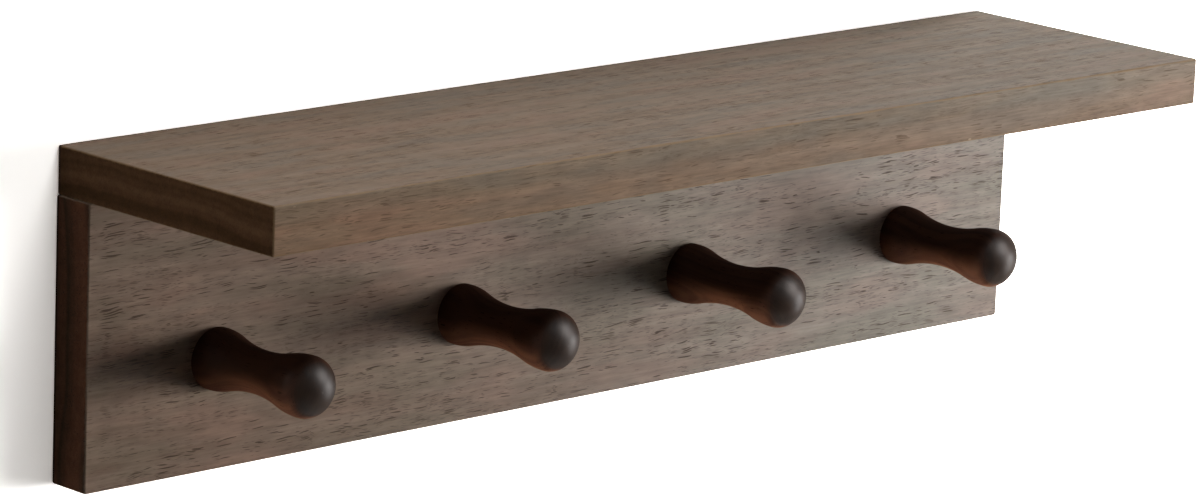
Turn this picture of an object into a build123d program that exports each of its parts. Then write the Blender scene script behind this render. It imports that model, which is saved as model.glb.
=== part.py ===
from build123d import *
from math import radians, sqrt, tan
import os

# A wall shelf lying on a back board that carries a row of turned pegs, in millimetres.
# +X runs along the rail, +Y goes into the wall and +Z is up. The wall plane is y = 0.
# x = 0 is the middle of the rail, and z = 0 the level of the keyholes' round entries.

# Boards
shelf_length = 500.0
shelf_depth = 125.0
shelf_thickness = 19.0
board_thickness = 19.8
board_height = 112.0  # below the shelf
board_reveal = 0.4  # each end of the back board stands this proud of the shelf's end
arris = 0.8  # easing of every edge of both boards
corner_round = 1.2  # lower corners of the back board

# Turned pegs. The three rings are the widest places of bead and head, and the waist.
peg_count = 4
peg_end_distance = 62.5  # end peg to the shelf's end
peg_rise = 44.0  # above the back board's lower edge
peg_reach = 62.7  # from the board's face to the tip
bead_radius = 12.3
bead_at = 1.7  # bead ring, from the board's face
bead_curve = 24.0
neck_radius = 8.6
head_radius = 12.15
head_curve = 37.0
cap_length = 9.8  # head ring to the tip
shoulder_curve = 7.8

# Pegs' tenons, glued in blind bores
tenon_radius = 6.35
tenon_chamfer = 1.0
wood_behind_tenon = 4.8

# Fluted dowels between the shelf and the back board
dowel_count = 4
dowel_end_distance = 25.0
dowel_radius = 4.0
dowel_length = 30.0
dowel_in_shelf = 12.5
dowel_chamfer = 0.8
flute_count = 12
flute_radius = 0.5

# Glued fits
glue_clearance = 0.05  # round the tenons and dowels
glue_room = 0.5  # at the bottom of their bores

# Keyhole hanger plates, let into the back
keyhole_end_distance = 46.8  # sets the two keyholes 406.4 apart, as two wall studs are
plate_width = 16.0
plate_thickness = 2.0
plate_end = 6.5  # screw centre to the plate's rounded end
plate_land = 4.2  # steel between the keyhole and each countersink
plate_top_margin = 7.2  # wood between the plate and the shelf
plate_clearance = 0.15
plate_sink = 0.1  # the plate lies this far below the back face
entry_radius = 4.75
slot_width = 5.0
slot_rise = 10.0  # the wall screw's travel from the entry to its seat
pocket_width = 12.0  # room for the wall screw's head, behind the plate
pocket_depth = 9.0

# Countersunk plate screws
screw_radius = 1.75
screw_head_radius = 3.5
head_angle = 90.0  # of the screws' heads and their countersinks
screw_length = 12.7
screw_point = 3.0
screw_clearance = 0.1
drive_width = 0.8
drive_span = 3.6
drive_depth = 1.1

# Heights of the keyhole plate's features, from the entry
countersink_radius = screw_head_radius + screw_clearance
upper_screw_z = slot_rise + slot_width / 2 + plate_land + countersink_radius
lower_screw_z = -(entry_radius + plate_land + countersink_radius)
plate_top = upper_screw_z + plate_end
plate_bottom = lower_screw_z - plate_end

# Heights and places on the boards
board_length = shelf_length + 2 * board_reveal
board_top = plate_top + plate_top_margin
board_bottom = board_top - board_height
board_face = -board_thickness
peg_z = board_bottom + peg_rise
tenon_bore_depth = board_thickness - wood_behind_tenon
tenon_length = tenon_bore_depth - glue_room
keyhole_x = shelf_length / 2 - keyhole_end_distance
plate_face = -plate_sink
mortise_depth = plate_sink + plate_thickness


def spread(count, end_distance):
    """Evenly spaced places along the rail, the end ones end_distance from the shelf's ends."""
    first = end_distance - shelf_length / 2
    step = -2 * first / (count - 1)
    return [first + step * index for index in range(count)]


def seen_from_behind(x, y, z=0.0):
    """A plane facing the wall, with its own y axis pointing up."""
    return Plane(origin=(x, y, z), x_dir=(-1, 0, 0), z_dir=(0, 1, 0))


def upright_slot(separation, width, middle, mode=Mode.ADD):
    """A round-ended slot standing on end, for a sketch."""
    with Locations((0, middle)):
        SlotCenterToCenter(separation, width, rotation=90, mode=mode)


peg_places = spread(peg_count, peg_end_distance)
dowel_places = spread(dowel_count, dowel_end_distance)
keyhole_places = {"left": -keyhole_x, "right": keyhole_x}


# Shelf board: lies on the back board, flush with it at the wall
with BuildPart() as shelf_board:
    with BuildSketch(Plane.XY.offset(board_top)):
        with Locations((0, -shelf_depth / 2)):
            Rectangle(shelf_length, shelf_depth)
    extrude(amount=shelf_thickness)
    fillet(shelf_board.edges(), radius=arris)
    underside = Plane(origin=(0, -board_thickness / 2, board_top), z_dir=(0, 0, -1))
    with Locations(underside):
        with Locations([(x, 0) for x in dowel_places]):
            Hole(dowel_radius + glue_clearance, depth=dowel_in_shelf + glue_room)
shelf_board.part.label = "shelf_board"


# Back board: bored from the front for the pegs, from above for the dowels, and let in
# from behind for the keyhole plates
with BuildPart() as back_board:
    with BuildSketch(Plane.XZ) as board_outline:
        with Locations((0, board_top - board_height / 2)):
            Rectangle(board_length, board_height)
        fillet(board_outline.vertices().group_by(Axis.Y)[0], radius=corner_round)
    extrude(amount=board_thickness)
    fillet(back_board.edges(), radius=arris)

    front = Plane(origin=(0, board_face, peg_z), x_dir=(1, 0, 0), z_dir=(0, -1, 0))
    with Locations(front):
        with Locations([(x, 0) for x in peg_places]):
            Hole(tenon_radius + glue_clearance, depth=tenon_bore_depth)

    top_edge = Plane(origin=(0, -board_thickness / 2, board_top))
    with Locations(top_edge):
        with Locations([(x, 0) for x in dowel_places]):
            Hole(dowel_radius + glue_clearance, depth=dowel_length - dowel_in_shelf + glue_room)

    for x in keyhole_places.values():
        with BuildSketch(seen_from_behind(x, 0)):
            upright_slot(
                plate_top - plate_bottom - plate_width,
                plate_width + 2 * plate_clearance,
                (plate_top + plate_bottom) / 2,
            )
        extrude(amount=-mortise_depth, mode=Mode.SUBTRACT)
        with BuildSketch(seen_from_behind(x, -mortise_depth)):
            upright_slot(slot_rise, pocket_width, slot_rise / 2)
        extrude(amount=-pocket_depth, mode=Mode.SUBTRACT)
        with Locations(seen_from_behind(x, -mortise_depth)):
            with Locations((0, upper_screw_z), (0, lower_screw_z)):
                Hole(
                    screw_radius + screw_clearance,
                    depth=screw_length + screw_clearance - plate_thickness,
                )
back_board.part.label = "back_board"


def neck_between(bead_drop, head_drop, span):
    """Where the waist lies along a peg, from the bead ring, and the radius of the neck's curve.

    The neck is one arc that touches the bead's arc and the head's arc. Two touching arcs whose
    rings differ by a drop lie sqrt(drop * (2 * (curve + neck_curve) - drop)) apart, which holds at
    both ends of the neck and gives a quadratic in the distance.
    """
    offset = 2 * (bead_curve - head_curve) - bead_drop + head_drop
    square = 1 / bead_drop - 1 / head_drop
    linear = 2 * span / head_drop
    constant = span**2 / head_drop + offset
    distance = 2 * constant / (linear + sqrt(linear**2 + 4 * square * constant))
    return distance, (distance**2 / bead_drop + bead_drop) / 2 - bead_curve


def touch(centre, radius, other_centre, other_radius):
    """The point where two arcs that curve opposite ways touch."""
    return centre + (other_centre - centre) * (radius / (radius + other_radius))


def turned_peg(x):
    """A peg, turned in one piece with its tenon, standing on the board's face at x."""
    head_at = peg_reach - cap_length
    waist, neck_curve = neck_between(
        bead_radius - neck_radius, head_radius - neck_radius, head_at - bead_at
    )
    bead_centre = Vector(bead_radius - bead_curve, bead_at)
    neck_centre = Vector(neck_radius + neck_curve, bead_at + waist)
    head_centre = Vector(head_radius - head_curve, head_at)
    foot_radius = bead_centre.X + sqrt(bead_curve**2 - bead_at**2)

    # The cap is an arc centred on the peg's axis that touches the shoulder's arc from outside
    shoulder_centre = Vector(head_radius - shoulder_curve, head_at)
    cap_curve = (cap_length**2 + shoulder_centre.X**2 - shoulder_curve**2) / (
        2 * (cap_length - shoulder_curve)
    )
    cap_centre = Vector(0, peg_reach - cap_curve)
    toward_shoulder = (shoulder_centre - cap_centre).normalized()

    foot = Vector(foot_radius, 0)
    bead_ring = Vector(bead_radius, bead_at)
    bead_end = touch(bead_centre, bead_curve, neck_centre, neck_curve)
    head_start = touch(head_centre, head_curve, neck_centre, neck_curve)
    head_ring = Vector(head_radius, head_at)
    cap_start = cap_centre + toward_shoulder * cap_curve
    tip = Vector(0, peg_reach)
    tenon_end = -tenon_length

    # Half section: sketch x is the radius, and sketch y runs out of the board
    turning = Plane(origin=(x, board_face, peg_z), x_dir=(1, 0, 0), z_dir=(0, 0, -1))
    with BuildPart() as peg:
        with BuildSketch(turning):
            with BuildLine():
                Polyline(
                    tip,
                    (0, tenon_end),
                    (tenon_radius - tenon_chamfer, tenon_end),
                    (tenon_radius, tenon_end + tenon_chamfer),
                    (tenon_radius, 0),
                    foot,
                )
                TangentArc(bead_ring, foot, tangent=(0, -1))
                bead = TangentArc(bead_ring, bead_end, tangent=(0, 1))
                neck = TangentArc(bead_end, head_start, tangent=bead % 1)
                TangentArc(head_start, head_ring, tangent=neck % 1)
                shoulder = TangentArc(head_ring, cap_start, tangent=(0, 1))
                TangentArc(cap_start, tip, tangent=shoulder % 1)
            make_face()
        revolve(axis=Axis((x, board_face, peg_z), (0, -1, 0)))
    return peg.part


def fluted_dowel(x):
    """A dowel pin with chamfered ends and glue flutes, across the joint between the boards."""
    foot = Plane(origin=(x, -board_thickness / 2, board_top + dowel_in_shelf - dowel_length))
    with BuildPart() as dowel:
        with BuildSketch(foot):
            Circle(dowel_radius)
        extrude(amount=dowel_length)
        chamfer(dowel.edges(), length=dowel_chamfer)
        with BuildSketch(foot):
            with PolarLocations(dowel_radius, flute_count):
                Circle(flute_radius)
        extrude(amount=dowel_length, mode=Mode.SUBTRACT)
    return dowel.part


def keyhole_plate(x):
    """A round-ended steel hanger plate with its keyhole and two countersunk holes."""
    with BuildPart() as plate:
        with BuildSketch(seen_from_behind(x, plate_face)):
            upright_slot(
                plate_top - plate_bottom - plate_width, plate_width, (plate_top + plate_bottom) / 2
            )
            Circle(entry_radius, mode=Mode.SUBTRACT)
            upright_slot(slot_rise, slot_width, slot_rise / 2, mode=Mode.SUBTRACT)
        extrude(amount=-plate_thickness)
        with Locations(seen_from_behind(x, plate_face)):
            with Locations((0, upper_screw_z), (0, lower_screw_z)):
                CounterSinkHole(
                    radius=screw_radius + screw_clearance,
                    counter_sink_radius=countersink_radius,
                    depth=plate_thickness,
                    counter_sink_angle=head_angle,
                )
    return plate.part


def plate_screw(x, z):
    """A countersunk wood screw with a cross recess, driven into the back board."""
    axis_plane = Plane(origin=(x, plate_face, z), x_dir=(1, 0, 0), z_dir=(0, 0, -1))
    head_height = (screw_head_radius - screw_radius) / tan(radians(head_angle / 2))
    with BuildPart() as screw:
        with BuildSketch(axis_plane):
            with BuildLine():
                Polyline(
                    (0, 0),
                    (screw_head_radius, 0),
                    (screw_radius, head_height),
                    (screw_radius, screw_length - screw_point),
                    (0, screw_length),
                    close=True,
                )
            make_face()
        revolve(axis=Axis((x, plate_face, z), (0, -1, 0)))
        with BuildSketch(seen_from_behind(x, plate_face, z)):
            Rectangle(drive_span, drive_width)
            Rectangle(drive_width, drive_span)
        extrude(amount=-drive_depth, mode=Mode.SUBTRACT)
    return screw.part


os.makedirs("parts", exist_ok=True)
export_step(shelf_board.part, "parts/shelf_board.step")
export_step(back_board.part, "parts/back_board.step")

for number, x in enumerate(peg_places, start=1):
    peg = turned_peg(x)
    peg.label = f"peg_{number}"
    export_step(peg, f"parts/{peg.label}.step")

for number, x in enumerate(dowel_places, start=1):
    dowel = fluted_dowel(x)
    dowel.label = f"dowel_{number}"
    export_step(dowel, f"parts/{dowel.label}.step")

for side, x in keyhole_places.items():
    plate = keyhole_plate(x)
    plate.label = f"keyhole_plate_{side}"
    export_step(plate, f"parts/{plate.label}.step")
    for level, z in {"upper": upper_screw_z, "lower": lower_screw_z}.items():
        screw = plate_screw(x, z)
        screw.label = f"plate_screw_{side}_{level}"
        export_step(screw, f"parts/{screw.label}.step")
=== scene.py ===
import math
import bpy
from mathutils import Matrix, Vector


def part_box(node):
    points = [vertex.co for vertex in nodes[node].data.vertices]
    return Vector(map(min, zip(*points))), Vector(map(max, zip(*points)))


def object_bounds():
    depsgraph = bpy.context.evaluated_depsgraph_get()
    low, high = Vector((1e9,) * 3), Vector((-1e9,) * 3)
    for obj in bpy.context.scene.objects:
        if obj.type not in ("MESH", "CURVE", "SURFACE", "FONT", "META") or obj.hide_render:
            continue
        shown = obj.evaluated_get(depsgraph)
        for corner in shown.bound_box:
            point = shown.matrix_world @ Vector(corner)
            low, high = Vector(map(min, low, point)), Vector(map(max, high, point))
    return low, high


# Wall shelf on a back board with four turned pegs: finishes, room, light and camera.
# Metres, in the frame of the CAD model. The patterns of the materials are in millimetres.

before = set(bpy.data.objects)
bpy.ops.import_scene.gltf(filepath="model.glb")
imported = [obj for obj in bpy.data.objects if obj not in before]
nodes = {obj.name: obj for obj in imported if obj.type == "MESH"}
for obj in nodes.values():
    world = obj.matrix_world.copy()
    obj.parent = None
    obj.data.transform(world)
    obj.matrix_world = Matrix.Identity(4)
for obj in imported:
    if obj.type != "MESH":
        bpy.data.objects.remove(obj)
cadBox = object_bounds()
print("loaded", len(nodes), "CAD nodes")

scene = bpy.context.scene
scene.view_settings.view_transform = "Standard"

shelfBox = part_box("shelf_board")
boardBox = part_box("back_board")


# Small helpers for shader nodes. A value may be a number, a colour or another node's socket.

def plug(tree, target, value):
    if isinstance(value, bpy.types.NodeSocket):
        tree.links.new(value, target)
    else:
        target.default_value = value


def calc(tree, operation, first, second=None):
    node = tree.nodes.new("ShaderNodeMath")
    node.operation = operation
    plug(tree, node.inputs[0], first)
    if second is not None:
        plug(tree, node.inputs[1], second)
    return node.outputs[0]


def vectorCalc(tree, operation, first, second=None):
    node = tree.nodes.new("ShaderNodeVectorMath")
    node.operation = operation
    plug(tree, node.inputs[0], first)
    if second is not None:
        plug(tree, node.inputs["Scale" if operation == "SCALE" else 1], second)
    return node.outputs["Value" if operation == "LENGTH" else "Vector"]


def split(tree, vector):
    node = tree.nodes.new("ShaderNodeSeparateXYZ")
    plug(tree, node.inputs[0], vector)
    return node.outputs


def remap(tree, value, fromLow, fromHigh, toLow=0.0, toHigh=1.0, smooth=True):
    node = tree.nodes.new("ShaderNodeMapRange")
    node.interpolation_type = "SMOOTHSTEP" if smooth else "LINEAR"
    for name, number in (("Value", value), ("From Min", fromLow), ("From Max", fromHigh),
                         ("To Min", toLow), ("To Max", toHigh)):
        plug(tree, node.inputs[name], number)
    return node.outputs["Result"]


def blendColour(tree, amount, under, over, mode="MIX"):
    node = tree.nodes.new("ShaderNodeMix")
    node.data_type = "RGBA"
    node.blend_type = mode
    plug(tree, node.inputs["Factor"], amount)
    plug(tree, node.inputs[6], under)
    plug(tree, node.inputs[7], over)
    return node.outputs[2]


def tint(tree, amount, under, tone):
    return blendColour(tree, amount, under, tone, "MULTIPLY")


def noise(tree, place, size, detail=2.0):
    node = tree.nodes.new("ShaderNodeTexNoise")
    node.inputs["Scale"].default_value = 1.0
    node.inputs["Detail"].default_value = detail
    plug(tree, node.inputs["Vector"], vectorCalc(tree, "DIVIDE", place, size))
    return node.outputs


def cells(tree, place, size, scale=1.0):
    node = tree.nodes.new("ShaderNodeTexVoronoi")
    plug(tree, node.inputs["Scale"], scale)
    plug(tree, node.inputs["Vector"], vectorCalc(tree, "DIVIDE", place, size))
    chance = tree.nodes.new("ShaderNodeSeparateColor")
    plug(tree, chance.inputs[0], node.outputs["Color"])
    return node.outputs["Distance"], chance.outputs[0]


def colour(red, green, blue):
    return (red, green, blue, 1.0)


def startGroup(name, inputs, outputs):
    group = bpy.data.node_groups.new(name, "ShaderNodeTree")
    for label, value in inputs.items():
        kind = "NodeSocketVector" if isinstance(value, tuple) else "NodeSocketFloat"
        group.interface.new_socket(label, in_out="INPUT", socket_type=kind).default_value = value
    for label in outputs:
        group.interface.new_socket(label, in_out="OUTPUT", socket_type="NodeSocketFloat")
    start = group.nodes.new("NodeGroupInput")
    end = group.nodes.new("NodeGroupOutput")
    return group, start.outputs, end.inputs


def useGroup(tree, group, **values):
    node = tree.nodes.new("ShaderNodeGroup")
    node.node_tree = group
    for name, value in values.items():
        plug(tree, node.inputs[name], value)
    return node.outputs


def shiftBySeed(group, given, step):
    return vectorCalc(group, "ADD", given["Vector"], calc(group, "MULTIPLY", given["Seed"], step))


def swayAcross(group, place, size, waviness):
    sway = vectorCalc(group, "SUBTRACT", noise(group, place, size)["Color"], (0.5, 0.5, 0.5))
    sway = vectorCalc(group, "MULTIPLY", sway, (0.0, 2.0, 2.0))
    return vectorCalc(group, "SCALE", sway, waviness)


# Wood figure. The grain runs along the pattern's own X. Each size is along and across the
# grain, and each range is where a pattern starts and where it is full.

figureLook = {
    "seedStep": 37.7, "swaySize": (95.0, 26.0, 26.0),
    "leanSize": (230.0, 90.0, 90.0), "leanReach": 14.0,
    "ringDetail": 2.0, "ringRange": (0.3, 0.7),
    "patterns": {
        "Streaks": {"size": (130.0, 6.0, 6.0), "detail": 3.0, "range": (0.3, 0.7)},
        "Patches": {"size": (70.0, 15.0, 15.0), "detail": 2.0, "range": (0.3, 0.7)},
        "Fibres": {"size": (16.0, 0.8, 0.8), "detail": 4.0, "range": (0.25, 0.75)},
        "Mottles": {"size": (11.0, 3.2, 3.2), "detail": 3.0, "range": (0.25, 0.75)},
    },
}


def makeWoodFigure(look):
    group, given, out = startGroup(
        "woodFigure",
        {"Vector": (0.0, 0.0, 0.0), "Pith": (0.0, 0.0, 0.0), "RingWidth": 4.0, "Waviness": 1.5,
         "Seed": 0.0},
        ("Rings", *look["patterns"]),
    )
    shifted = shiftBySeed(group, given, look["seedStep"])
    sway = swayAcross(group, shifted, look["swaySize"], given["Waviness"])

    # Rings lie round the pith, which runs beside the board
    fromPith = vectorCalc(group, "SUBTRACT", vectorCalc(group, "ADD", given["Vector"], sway),
                          given["Pith"])
    radius = vectorCalc(group, "LENGTH", vectorCalc(group, "MULTIPLY", fromPith, (0.0, 1.0, 1.0)))
    lean = noise(group, shifted, look["leanSize"])[0]
    radius = calc(group, "ADD", radius, calc(group, "MULTIPLY", lean, look["leanReach"]))
    rings = group.nodes.new("ShaderNodeTexNoise")
    rings.noise_dimensions = "1D"
    rings.inputs["Scale"].default_value = 1.0
    rings.inputs["Detail"].default_value = look["ringDetail"]
    plug(group, rings.inputs["W"], calc(group, "DIVIDE", radius, given["RingWidth"]))
    plug(group, out["Rings"], remap(group, rings.outputs[0], *look["ringRange"]))

    wavy = vectorCalc(group, "ADD", shifted, sway)
    for name, pattern in look["patterns"].items():
        value = noise(group, wavy, pattern["size"], pattern["detail"])[0]
        plug(group, out[name], remap(group, value, *pattern["range"]))
    return group


# Open pores: short slits along the grain where it is cut lengthwise, dots on end grain. Bare
# is the share of places without one, and the rest vary in size and stand in clusters.

poreLook = {
    "seedStep": 53.3, "swaySize": (24.0, 9.0, 9.0), "smallest": 0.1, "largest": 0.75,
    "clusterSize": (60.0, 8.0, 8.0), "clusterDetail": 1.0, "clusterRange": (0.35, 0.6),
    "outsideClusters": 0.4, "rim": (-0.1, 0.2),
}


def makeWoodPores(look):
    group, given, out = startGroup(
        "woodPores",
        {"Vector": (0.0, 0.0, 0.0), "Length": 3.6, "Width": 0.36, "Apart": 2.6, "Waviness": 1.0,
         "Bare": 0.4, "Seed": 0.0},
        ("Pores",),
    )
    shifted = shiftBySeed(group, given, look["seedStep"])
    sway = swayAcross(group, shifted, look["swaySize"], given["Waviness"])
    poreSize = group.nodes.new("ShaderNodeCombineXYZ")
    for target, name in zip(poreSize.inputs, ("Length", "Width", "Width")):
        plug(group, target, given[name])
    distance, chance = cells(group, vectorCalc(group, "ADD", shifted, sway), poreSize.outputs[0],
                             calc(group, "DIVIDE", 1.0, given["Apart"]))
    reach = remap(group, chance, given["Bare"], 1.0, look["smallest"], look["largest"],
                  smooth=False)
    clusters = noise(group, shifted, look["clusterSize"], look["clusterDetail"])[0]
    reach = calc(group, "MULTIPLY", reach,
                 remap(group, clusters, *look["clusterRange"], look["outsideClusters"], 1.0))
    inside = calc(group, "SUBTRACT", reach, calc(group, "MULTIPLY", distance, given["Apart"]))
    plug(group, out["Pores"], remap(group, inside, *look["rim"]))
    return group


# Arrises of a box-shaped board, from the distances to its faces: Edge is where the second
# smallest is small, and Inside, where even the smallest is not, is the wall of a bore.

edgeLook = {
    "wearSize": (14.0, 2.0, 2.0), "wearRange": (0.2, 0.8), "wearWidths": (0.5, 1.4),
    "wearFade": (1.0, 0.3), "chipApart": (6.0, 2.4, 2.4), "chipChance": 0.72,
    "chipLargest": 0.2, "chipRim": 0.04, "chipFade": (2.0, 0.6), "boreFade": (0.9, 1.2),
}


def makeBoardEdges(look):
    group, given, out = startGroup(
        "boardEdges",
        {"Vector": (0.0, 0.0, 0.0), "Centre": (0.0, 0.0, 0.0), "Half": (1.0, 1.0, 1.0),
         "Width": 1.0},
        ("Edge", "Chips", "Inside"),
    )
    place = given["Vector"]
    fromCentre = vectorCalc(group, "ABSOLUTE",
                            vectorCalc(group, "SUBTRACT", place, given["Centre"]))
    x, y, z = split(group, vectorCalc(group, "SUBTRACT", given["Half"], fromCentre))
    nearest = calc(group, "MINIMUM", calc(group, "MINIMUM", x, y), z)
    second = calc(group, "MAXIMUM", calc(group, "MINIMUM", x, y),
                  calc(group, "MINIMUM", calc(group, "MAXIMUM", x, y), z))
    uneven = remap(group, noise(group, place, look["wearSize"])[0], *look["wearRange"],
                   *look["wearWidths"])
    width = calc(group, "MULTIPLY", given["Width"], uneven)
    plug(group, out["Edge"],
         remap(group, calc(group, "DIVIDE", second, width), *look["wearFade"]))
    distance, chance = cells(group, place, look["chipApart"])
    size = remap(group, chance, look["chipChance"], 1.0, 0.0, look["chipLargest"], smooth=False)
    speck = remap(group, calc(group, "SUBTRACT", size, distance), 0.0, look["chipRim"])
    nearEdge = remap(group, second, *look["chipFade"])
    plug(group, out["Chips"], calc(group, "MULTIPLY", nearEdge, speck))
    plug(group, out["Inside"], remap(group, nearest, *look["boreFade"]))
    return group


woodFigure = makeWoodFigure(figureLook)
woodPores = makeWoodPores(poreLook)
boardEdges = makeBoardEdges(edgeLook)
print("built the shader groups of the wood")


def startMaterial(name):
    material = bpy.data.materials.new(name)
    material.use_nodes = True
    tree = material.node_tree
    coordinates = tree.nodes.new("ShaderNodeTexCoord")
    inMillimetres = vectorCalc(tree, "SCALE", coordinates.outputs["Object"], 1000.0)
    shader = tree.nodes["Principled BSDF"]
    return material, tree, shader, inMillimetres, coordinates.outputs["Normal"]


def mixTone(tree, figure, look):
    return calc(tree, "ADD", calc(tree, "MULTIPLY", figure["Rings"], look["ringShare"]),
                calc(tree, "MULTIPLY", figure["Streaks"], look["streakShare"]))


def addBump(tree, shader, raised, raisedBy, sunk, strength, depth):
    bump = tree.nodes.new("ShaderNodeBump")
    bump.inputs["Strength"].default_value = strength
    bump.inputs["Distance"].default_value = depth
    plug(tree, bump.inputs["Height"],
         calc(tree, "SUBTRACT", calc(tree, "MULTIPLY", raised, raisedBy), sunk))
    plug(tree, shader.inputs["Normal"], bump.outputs[0])


def giveFinish(nodeName, material):
    nodes[nodeName].material_slots[0].material = material


# Stained boards. Pith is where the growth rings centre, in the frame's millimetres. The finish
# is a thin satin film, which the end grain and the back have soaked up. The tones to the left and
# of the right end, the darker top of the back board's front and the dark band at the wall are
# painted sheen and shade, not stain.

shelfWood = {
    "dark": colour(0.122, 0.088, 0.060), "light": colour(0.157, 0.121, 0.091),
    "red": colour(0.156, 0.108, 0.079), "grey": colour(0.125, 0.102, 0.080),
    "upperTone": colour(0.93, 1.04, 1.10), "upperRange": (43.0, 48.0),
    "frontTone": colour(1.03, 0.95, 0.89), "leftTone": colour(1.14, 1.04, 0.95),
    "endDark": colour(0.078, 0.040, 0.019), "endLight": colour(0.145, 0.076, 0.040),
    "rightEndTone": colour(0.60, 0.76, 0.88), "pore": colour(0.050, 0.032, 0.023),
    "worn": colour(0.205, 0.130, 0.066), "chip": colour(0.22, 0.16, 0.105),
    "pith": (0.0, -70.0, -500.0), "ringWidth": 9.0, "seed": 1.0,
    "poreStrength": 0.5, "wearStrength": 0.6, "film": 0.19, "frontFilm": 0.22,
}
boardWood = {
    "dark": colour(0.139, 0.110, 0.090), "light": colour(0.195, 0.166, 0.143),
    "red": colour(0.194, 0.148, 0.125), "grey": colour(0.152, 0.135, 0.111),
    "upperTone": colour(0.93, 0.93, 0.94), "upperRange": (-25.0, 20.0),
    "frontTone": colour(1.0, 1.0, 0.98), "leftTone": colour(1.24, 1.03, 0.90),
    "endDark": colour(0.045, 0.030, 0.020), "endLight": colour(0.134, 0.059, 0.034),
    "rightEndTone": colour(0.60, 0.76, 0.88), "pore": colour(0.040, 0.028, 0.022),
    "worn": colour(0.20, 0.15, 0.11), "chip": colour(0.24, 0.19, 0.15),
    "pith": (0.0, 400.0, -20.0), "ringWidth": 11.0, "seed": 5.0,
    "poreStrength": 0.78, "wearStrength": 0.3, "film": 0.055, "frontFilm": 1.0,
}
boardSurface = {
    "waviness": 1.5, "wearWidth": 0.9, "facingRange": (0.6, 0.9),
    "leftRange": (210.0, -230.0), "wallRange": (-2.2, -1.0),
    "ringShare": 0.35, "streakShare": 0.65, "redRange": (0.55, 1.0), "greyRange": (0.45, 0.0),
    "patchStrength": 0.8, "fibreTones": (-0.11, 0.11), "mottleTones": (0.91, 1.09),
    "largePores": {"Length": 9.0, "Width": 0.35, "Apart": 1.6, "Waviness": 2.2, "Bare": 0.2},
    "smallPores": {"Length": 4.6, "Width": 0.25, "Apart": 1.5, "Waviness": 2.2, "Bare": 0.1},
    "smallPoreSeed": 3.0, "smallPoreStrength": 0.6, "bored": colour(0.40, 0.27, 0.16),
    "roughnessRange": (0.46, 0.60), "poreRoughness": 0.2, "soakedRoughness": 0.85,
    "filmRoughness": 0.42, "underFilm": 0.0,
    "fibreHeight": 0.12, "bumpStrength": 0.5, "bumpDepth": 0.00012,
}


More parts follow.
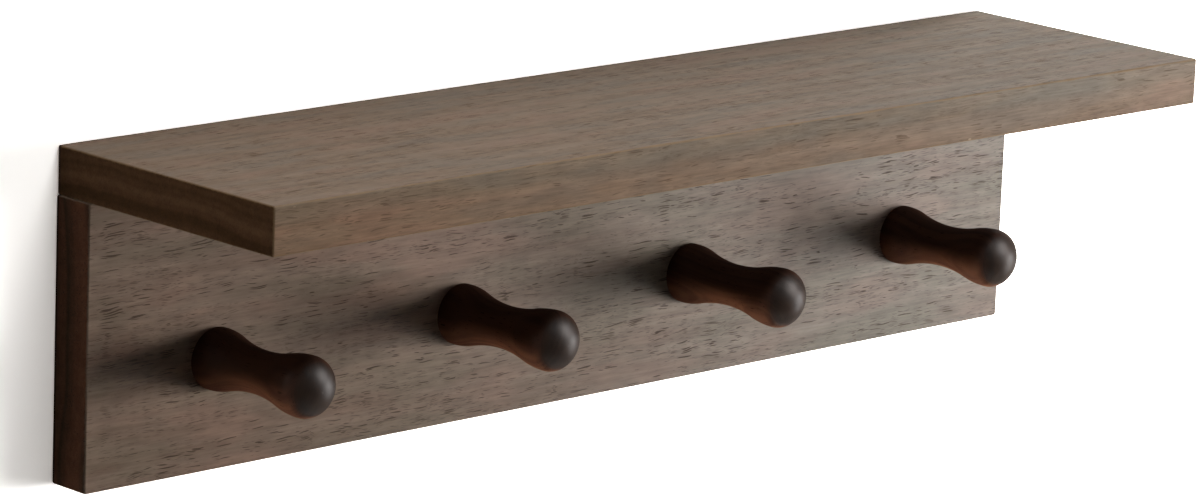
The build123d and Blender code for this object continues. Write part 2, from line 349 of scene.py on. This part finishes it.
def makeBoardWood(name, look, box):
    surface = boardSurface
    material, tree, shader, place, normal = startMaterial(name)
    figure = useGroup(tree, woodFigure, Vector=place, Pith=look["pith"],
                      RingWidth=look["ringWidth"], Waviness=surface["waviness"],
                      Seed=look["seed"])
    large = useGroup(tree, woodPores, Vector=place, Seed=look["seed"], **surface["largePores"])
    small = useGroup(tree, woodPores, Vector=place, Seed=look["seed"] + surface["smallPoreSeed"],
                     **surface["smallPores"])
    centre = tuple((box[0] + box[1]) * 500.0)  # halved, and from metres to millimetres
    half = tuple((box[1] - box[0]) * 500.0)
    edges = useGroup(tree, boardEdges, Vector=place, Centre=centre, Half=half,
                     Width=surface["wearWidth"])
    facing = split(tree, normal)
    turnFrom, turnTo = surface["facingRange"]
    isEnd = remap(tree, calc(tree, "ABSOLUTE", facing[0]), turnFrom, turnTo)
    isFront = remap(tree, facing[1], -turnFrom, -turnTo)
    isBack = remap(tree, facing[1], turnFrom, turnTo)
    x, y, z = split(tree, place)
    # Mask for the painted sheen and shade by side, full at the left end of the boards
    paintedLightSide = remap(tree, x, *surface["leftRange"])
    isUpper = remap(tree, z, *look["upperRange"])
    # Mask for a dark band along the back edges, where the boards meet the wall: painted contact
    # shade
    paintedWallShade = calc(tree, "MULTIPLY", remap(tree, y, *surface["wallRange"]),
                  calc(tree, "SUBTRACT", 1.0, isBack))

    face = blendColour(tree, mixTone(tree, figure, surface), look["dark"], look["light"])
    for tone in ("red", "grey"):
        amount = remap(tree, figure["Patches"], *surface[f"{tone}Range"], 0.0,
                       surface["patchStrength"])
        face = blendColour(tree, amount, face, look[tone])
    # Front faces are tinted by height: the back board's front is painted darker towards the top,
    # a painted shade under the shelf, and the shelf's front edge turns cooler towards its top
    front = tint(tree, isUpper, tint(tree, 1.0, face, look["frontTone"]), look["upperTone"])
    # Both boards run warmer to the left and greyer to the right: painted sheen of the lamps on
    # the right, not a tone of the wood
    face = tint(tree, paintedLightSide, blendColour(tree, isFront, face, front), look["leftTone"])
    endGrain = blendColour(tree, figure["Rings"], look["endDark"], look["endLight"])
    # The right end grain is painted darker and less orange than the left one, to offset the key
    # lamp that lights it: painted shade
    endGrain = tint(tree, calc(tree, "SUBTRACT", 1.0, paintedLightSide), endGrain, look["rightEndTone"])
    wood = blendColour(tree, isEnd, face, endGrain)
    grain = calc(tree, "ADD",
                 remap(tree, figure["Fibres"], 0.0, 1.0, *surface["fibreTones"], smooth=False),
                 remap(tree, figure["Mottles"], 0.0, 1.0, *surface["mottleTones"], smooth=False))
    wood = tint(tree, 1.0, wood, grain)
    poreMask = calc(tree, "MAXIMUM", large["Pores"],
                    calc(tree, "MULTIPLY", small["Pores"], surface["smallPoreStrength"]))
    wood = blendColour(tree, calc(tree, "MULTIPLY", poreMask, look["poreStrength"]), wood,
                       look["pore"])
    wood = blendColour(tree, calc(tree, "MULTIPLY", edges["Edge"], look["wearStrength"]), wood,
                       look["worn"])
    wood = blendColour(tree, edges["Chips"], wood, look["chip"])
    # Painted contact shade: the pore colour laid along the back edges at the wall
    wood = blendColour(tree, paintedWallShade, wood, look["pore"])
    wood = blendColour(tree, edges["Inside"], wood, tint(tree, 1.0, surface["bored"], grain))
    plug(tree, shader.inputs["Base Color"], wood)

    soaked = calc(tree, "MAXIMUM", calc(tree, "MAXIMUM", isEnd, isBack), edges["Inside"])
    rough = remap(tree, figure["Fibres"], 0.0, 1.0, *surface["roughnessRange"])
    rough = calc(tree, "ADD", rough, calc(tree, "MULTIPLY", poreMask, surface["poreRoughness"]))
    rough = calc(tree, "MAXIMUM", rough,
                 calc(tree, "MULTIPLY", soaked, surface["soakedRoughness"]))
    plug(tree, shader.inputs["Roughness"], rough)
    film = calc(tree, "SUBTRACT", 1.0, calc(tree, "MAXIMUM", soaked, poreMask))
    film = calc(tree, "MULTIPLY", film, remap(tree, isFront, 0.0, 1.0, 1.0, look["frontFilm"]))
    plug(tree, shader.inputs["Coat Weight"], calc(tree, "MULTIPLY", film, look["film"]))
    shader.inputs["Coat Roughness"].default_value = surface["filmRoughness"]
    shader.inputs["Specular IOR Level"].default_value = surface["underFilm"]
    addBump(tree, shader, figure["Fibres"], surface["fibreHeight"], poreMask,
            surface["bumpStrength"], surface["bumpDepth"])
    return material


giveFinish("shelf_board", makeBoardWood("shelfWood", shelfWood, shelfBox))
giveFinish("back_board", makeBoardWood("boardWood", boardWood, boardBox))
print("finished the boards")


# Rods with their grain lengthwise. Turn brings the rod's axis onto the pattern's X. The pegs have
# the boards' stain, taken up darker by the turned wood and greyer on their heads, with a painted
# glow of light from below on their undersides to the left, and the dowels are raw.

pegWood = {
    "turn": (0.0, 0.0, 90.0), "pith": (0.0, 30.0, -60.0), "ringWidth": 2.2,
    "dark": colour(0.026, 0.010, 0.006), "light": colour(0.048, 0.019, 0.010),
    "underTone": colour(7.6, 7.9, 7.8), "headTone": colour(0.42, 0.54, 0.56),
    "pore": colour(0.012, 0.006, 0.004), "poreStrength": 0.7, "roughness": 0.5,
    "film": 0.066, "filmRoughness": 0.42, "filmIndex": 2.0, "underFilm": 0.0,
}
dowelWood = {
    "turn": (0.0, 90.0, 0.0), "pith": (0.0, 20.0, -35.0), "ringWidth": 1.8,
    "dark": colour(0.54, 0.37, 0.22), "light": colour(0.68, 0.51, 0.34),
    "underTone": colour(1.0, 1.0, 1.0), "headTone": colour(0.8, 0.75, 0.7),
    "pore": colour(0.36, 0.21, 0.11), "poreStrength": 0.55, "roughness": 0.72,
    "film": 0.0, "filmRoughness": 0.5, "filmIndex": 1.5, "underFilm": 0.3,
}
rodSurface = {
    "waviness": 1.0, "ringShare": 0.5, "streakShare": 0.5, "firstSeed": 11.0, "seedStep": 4.0,
    "pores": {"Length": 2.8, "Width": 0.26, "Apart": 2.1, "Waviness": 0.8, "Bare": 0.3},
    "downRange": (0.3, -0.7), "sidewaysRange": (-0.75, -0.25), "leftRange": (0.3, -0.1),
    "reachRange": (-24.0, -50.0), "nearBoard": 0.4, "headRange": (-0.5, -0.8),
    "poreRoughness": 0.15, "filmUnderneath": 0.3,
    "fibreHeight": 0.12, "bumpStrength": 0.35, "bumpDepth": 0.0001,
}


def makeRodWood(name, look, seed):
    surface = rodSurface
    material, tree, shader, place, normal = startMaterial(name)
    turned = tree.nodes.new("ShaderNodeMapping")
    turned.inputs["Rotation"].default_value = [math.radians(angle) for angle in look["turn"]]
    plug(tree, turned.inputs["Vector"], place)
    along = turned.outputs[0]
    figure = useGroup(tree, woodFigure, Vector=along, Pith=look["pith"],
                      RingWidth=look["ringWidth"], Waviness=surface["waviness"], Seed=seed)
    pores = useGroup(tree, woodPores, Vector=along, Seed=seed, **surface["pores"])["Pores"]
    facing = split(tree, normal)
    # Mask for the undersides that face left, fuller towards the head: painted glow of light from
    # below
    underGlowMask = calc(tree, "MULTIPLY", remap(tree, facing[2], *surface["downRange"]),
                   remap(tree, facing[1], *surface["sidewaysRange"]))
    underGlowMask = calc(tree, "MULTIPLY", underGlowMask,
                   remap(tree, split(tree, place)[1], *surface["reachRange"],
                         surface["nearBoard"], 1.0))
    underGlowMask = calc(tree, "MULTIPLY", underGlowMask, remap(tree, facing[0], *surface["leftRange"]))
    isHead = remap(tree, facing[1], *surface["headRange"])

    wood = blendColour(tree, mixTone(tree, figure, surface), look["dark"], look["light"])
    # Painted glow of light from below: the undersides are made lighter and redder
    wood = tint(tree, underGlowMask, wood, look["underTone"])
    wood = tint(tree, isHead, wood, look["headTone"])
    wood = blendColour(tree, calc(tree, "MULTIPLY", pores, look["poreStrength"]), wood,
                       look["pore"])
    plug(tree, shader.inputs["Base Color"], wood)
    rough = calc(tree, "ADD", look["roughness"],
                 calc(tree, "MULTIPLY", pores, surface["poreRoughness"]))
    plug(tree, shader.inputs["Roughness"], rough)
    thin = calc(tree, "MAXIMUM", pores, underGlowMask)
    plug(tree, shader.inputs["Coat Weight"],
         remap(tree, thin, 0.0, 1.0, look["film"], look["film"] * surface["filmUnderneath"]))
    shader.inputs["Coat Roughness"].default_value = look["filmRoughness"]
    shader.inputs["Coat IOR"].default_value = look["filmIndex"]
    shader.inputs["Specular IOR Level"].default_value = look["underFilm"]
    addBump(tree, shader, figure["Fibres"], surface["fibreHeight"], pores,
            surface["bumpStrength"], surface["bumpDepth"])
    return material


rodNames = sorted(name for name in nodes if name.startswith(("peg_", "dowel_")))
for number, name in enumerate(rodNames):
    kind, look = ("pegWood", pegWood) if name.startswith("peg_") else ("dowelWood", dowelWood)
    seed = rodSurface["firstSeed"] + rodSurface["seedStep"] * number
    giveFinish(name, makeRodWood(f"{kind}{name[-1]}", look, seed))
print("finished", len(rodNames), "pegs and dowels")


# Zinc plating: a cloudy bright grey with the marks of the rolls and of handling. Brushing is
# the size of the brush marks along X, Y and Z.

markLook = {
    "seedStep": 21.3, "brushRange": (0.3, 0.7),
    "cloudSize": (3.0, 3.0, 3.0), "cloudDetail": 3.0, "cloudRange": (0.35, 0.65),
    "scratchTurn": (0.5, 0.7, 0.3), "scratchSize": (1.1, 1.1, 9.0), "scratchDetail": 1.0,
    "scratchRange": (0.016, 0.004), "patchSize": (5.0, 5.0, 5.0), "patchRange": (0.45, 0.65),
}


def makeMetalMarks(look):
    group, given, out = startGroup(
        "metalMarks", {"Vector": (0.0, 0.0, 0.0), "Brushing": (0.2, 0.2, 7.0), "Seed": 0.0},
        ("Brushed", "Clouds", "Scratches"),
    )
    shifted = shiftBySeed(group, given, look["seedStep"])
    lines = noise(group, shifted, given["Brushing"])[0]
    plug(group, out["Brushed"], remap(group, lines, *look["brushRange"]))
    clouds = noise(group, shifted, look["cloudSize"], look["cloudDetail"])[0]
    plug(group, out["Clouds"], remap(group, clouds, *look["cloudRange"]))
    tilted = group.nodes.new("ShaderNodeMapping")
    tilted.inputs["Rotation"].default_value = look["scratchTurn"]
    plug(group, tilted.inputs["Vector"], shifted)
    paths = noise(group, tilted.outputs[0], look["scratchSize"], look["scratchDetail"])[0]
    hair = calc(group, "ABSOLUTE", calc(group, "SUBTRACT", paths, 0.5))
    patch = noise(group, shifted, look["patchSize"])[0]
    plug(group, out["Scratches"],
         calc(group, "MULTIPLY", remap(group, hair, *look["scratchRange"]),
              remap(group, patch, *look["patchRange"])))
    return group


metalMarks = makeMetalMarks(markLook)

plateZinc = {
    "dark": colour(0.34, 0.34, 0.33), "light": colour(0.54, 0.54, 0.53),
    "scratch": colour(0.70, 0.70, 0.69), "brushing": (0.2, 0.2, 7.0), "roughness": 0.34,
    "seed": 2.0,
}
screwZinc = {
    "dark": colour(0.25, 0.24, 0.20), "light": colour(0.42, 0.40, 0.34),
    "scratch": colour(0.66, 0.65, 0.62), "brushing": (0.5, 1.5, 0.5), "roughness": 0.30,
    "seed": 9.0,
}
zincSurface = {
    "brushRoughness": 0.10, "cloudRoughness": 0.06,
    "brushHeight": 0.3, "bumpStrength": 0.3, "bumpDepth": 0.00003,
}


def makeZinc(name, look):
    surface = zincSurface
    material, tree, shader, place = startMaterial(name)[:4]
    marks = useGroup(tree, metalMarks, Vector=place, Brushing=look["brushing"], Seed=look["seed"])
    metal = blendColour(tree, marks["Clouds"], look["dark"], look["light"])
    metal = blendColour(tree, marks["Scratches"], metal, look["scratch"])
    plug(tree, shader.inputs["Base Color"], metal)
    shader.inputs["Metallic"].default_value = 1.0
    rough = calc(tree, "ADD", look["roughness"],
                 calc(tree, "MULTIPLY", marks["Brushed"], surface["brushRoughness"]))
    rough = calc(tree, "ADD", rough,
                 calc(tree, "MULTIPLY", marks["Clouds"], surface["cloudRoughness"]))
    plug(tree, shader.inputs["Roughness"], rough)
    addBump(tree, shader, marks["Brushed"], surface["brushHeight"], marks["Scratches"],
            surface["bumpStrength"], surface["bumpDepth"])
    return material


zinc = {"keyhole_plate": makeZinc("plateZinc", plateZinc),
        "plate_screw": makeZinc("screwZinc", screwZinc)}
for name in nodes:
    for start, material in zinc.items():
        if name.startswith(start):
            giveFinish(name, material)
print("finished the plates and screws")


# Room: a white wall behind the object and a pale floor far below. Both are seen through from
# their backs, and the wall also where the object covers it, so its back gets light as well.
# Shade is how much of the paint's colour lights the room, and Lift and Glow add to what the
# camera and reflections see. Fill is the strength of the white surroundings as a light.

room = {
    "wallBehind": 0.0002, "coveredMargin": 0.0018, "touching": 0.001, "wide": 9.0,
    "floorLevel": -1.1, "paint": colour(0.86, 0.85, 0.83), "glowTone": colour(1.0, 0.94, 0.89),
    "wallShade": 1.0, "wallLift": 1.1, "wallGlow": 0.27,
    "floorShade": 0.4, "floorLift": 3.1, "floorGlow": 0.6, "fill": 0.01,
}


def seenRays(tree, path):
    reflected = calc(tree, "MAXIMUM", path.outputs["Is Glossy Ray"],
                     path.outputs["Is Transmission Ray"])
    return calc(tree, "MAXIMUM", path.outputs["Is Camera Ray"], reflected)


def makeRoomPaint(name):
    material = bpy.data.materials.new(f"{name}Paint")
    material.use_nodes = True
    tree = material.node_tree
    tree.nodes.remove(tree.nodes["Principled BSDF"])
    path = tree.nodes.new("ShaderNodeLightPath")
    seen = seenRays(tree, path)
    paint = tree.nodes.new("ShaderNodeBsdfDiffuse")
    lift = calc(tree, "ADD", room[f"{name}Shade"],
                calc(tree, "MULTIPLY", seen, room[f"{name}Lift"]))
    plug(tree, paint.inputs["Color"], vectorCalc(tree, "SCALE", room["paint"][:3], lift))
    glow = tree.nodes.new("ShaderNodeEmission")
    plug(tree, glow.inputs["Color"], room["glowTone"])
    plug(tree, glow.inputs["Strength"], calc(tree, "MULTIPLY", seen, room[f"{name}Glow"]))
    white = tree.nodes.new("ShaderNodeAddShader")
    plug(tree, white.inputs[0], paint.outputs[0])
    plug(tree, white.inputs[1], glow.outputs[0])

    surface = tree.nodes.new("ShaderNodeNewGeometry")
    middle = (cadBox[0] + cadBox[1]) / 2
    fromMiddle = vectorCalc(tree, "SUBTRACT", surface.outputs["Position"], tuple(middle))
    away = split(tree, vectorCalc(tree, "ABSOLUTE", fromMiddle))
    halfWide, halfTall = (cadBox[1][axis] - middle[axis] - room["coveredMargin"]
                          for axis in (0, 2))
    covered = calc(tree, "MULTIPLY", calc(tree, "LESS_THAN", away[0], halfWide),
                   calc(tree, "LESS_THAN", away[2], halfTall))
    touching = calc(tree, "LESS_THAN", path.outputs["Ray Length"], room["touching"])
    covered = calc(tree, "MAXIMUM", covered, touching)
    clear = tree.nodes.new("ShaderNodeBsdfTransparent")
    mixed = tree.nodes.new("ShaderNodeMixShader")
    plug(tree, mixed.inputs[0], calc(tree, "MAXIMUM", surface.outputs["Backfacing"], covered))
    plug(tree, mixed.inputs[1], white.outputs[0])
    plug(tree, mixed.inputs[2], clear.outputs[0])
    plug(tree, tree.nodes["Material Output"].inputs["Surface"], mixed.outputs[0])
    return material


def makeRoom():
    wallY = cadBox[1][1] + room["wallBehind"]
    sides = {
        "wall": ((0.0, wallY, 0.0), (math.radians(90.0), 0.0, 0.0)),
        "floor": ((0.0, wallY - room["wide"] / 2, room["floorLevel"]), (0.0, 0.0, 0.0)),
    }
    for name, (place, turn) in sides.items():
        bpy.ops.mesh.primitive_plane_add(size=room["wide"], location=place, rotation=turn)
        piece = bpy.context.object
        piece.name = name
        piece.data.materials.append(makeRoomPaint(name))


def makeWorld():
    world = bpy.data.worlds.new("room")
    world.use_nodes = True
    scene.world = world
    tree = world.node_tree
    seen = seenRays(tree, tree.nodes.new("ShaderNodeLightPath"))
    strength = remap(tree, seen, 0.0, 1.0, room["fill"], 1.0, smooth=False)
    plug(tree, tree.nodes["Background"].inputs["Color"], colour(1.0, 1.0, 1.0))
    plug(tree, tree.nodes["Background"].inputs["Strength"], strength)


makeRoom()
makeWorld()
print("made the room")


# Light: the key lamp and a weaker one beside it stand at the right, in front. The low lamp only
# shades, and the sheen and head lamps show only in the gloss of the finish. One lamp hangs
# above, and the rear lamp is for the views from behind.

lamps = {
    "keyLight": {"place": (0.975, -0.650, -0.10), "wide": 0.36, "tall": 0.40, "power": 13.4},
    "sideLight": {"place": (0.74, -0.86, -0.05), "wide": 0.3, "tall": 0.3, "power": 2.6},
    "lowLight": {"place": (1.02, -0.257, -0.43), "wide": 0.35, "tall": 0.30, "power": 8.5,
                 "gloss": False},
    "sheenLight": {"place": (0.99, -0.56, -0.33), "wide": 0.7, "tall": 0.7, "power": 25.0,
                   "shade": False},
    "headLight": {"place": (0.56, -0.72, 0.40), "wide": 0.60, "tall": 0.65, "power": 30.0,
                  "shade": False},
    "topLight": {"place": (-0.09, -0.74, 0.93), "wide": 0.7, "tall": 0.25, "power": 8.0},
    "rearLight": {"place": (-0.5, 1.3, 0.7), "wide": 0.8, "tall": 0.8, "power": 10.0},
}
lampAim = Vector((0.0, -0.04, 0.0))


def makeLamps():
    for name, lamp in lamps.items():
        data = bpy.data.lights.new(name, "AREA")
        data.shape = "ELLIPSE"
        data.size = lamp["wide"]
        data.size_y = lamp["tall"]
        data.energy = lamp["power"]
        piece = bpy.data.objects.new(name, data)
        piece.location = lamp["place"]
        piece.rotation_euler = (lampAim - piece.location).to_track_quat("-Z", "Y").to_euler()
        piece.visible_glossy = lamp.get("gloss", True)
        piece.visible_diffuse = lamp.get("shade", True)
        scene.collection.objects.link(piece)


makeLamps()
print("set", len(lamps), "lamps")


# Camera, to the left of the object and above it

view = {
    "place": (-1.56884, -1.67642, 0.51226), "turn": 43.663, "down": 13.055, "roll": 2.209,
    "lens": 174.88, "sensor": 36.0,
}


def makeCamera():
    data = bpy.data.cameras.new("camera")
    data.lens = view["lens"]
    data.sensor_width = view["sensor"]
    camera = bpy.data.objects.new("camera", data)
    camera.matrix_world = (
        Matrix.Translation(view["place"])
        @ Matrix.Rotation(-math.radians(view["turn"]), 4, "Z")
        @ Matrix.Rotation(math.radians(90.0 - view["down"]), 4, "X")
        @ Matrix.Rotation(math.radians(view["roll"]), 4, "Z")
    )
    scene.collection.objects.link(camera)
    scene.camera = camera


makeCamera()
print("placed the camera")
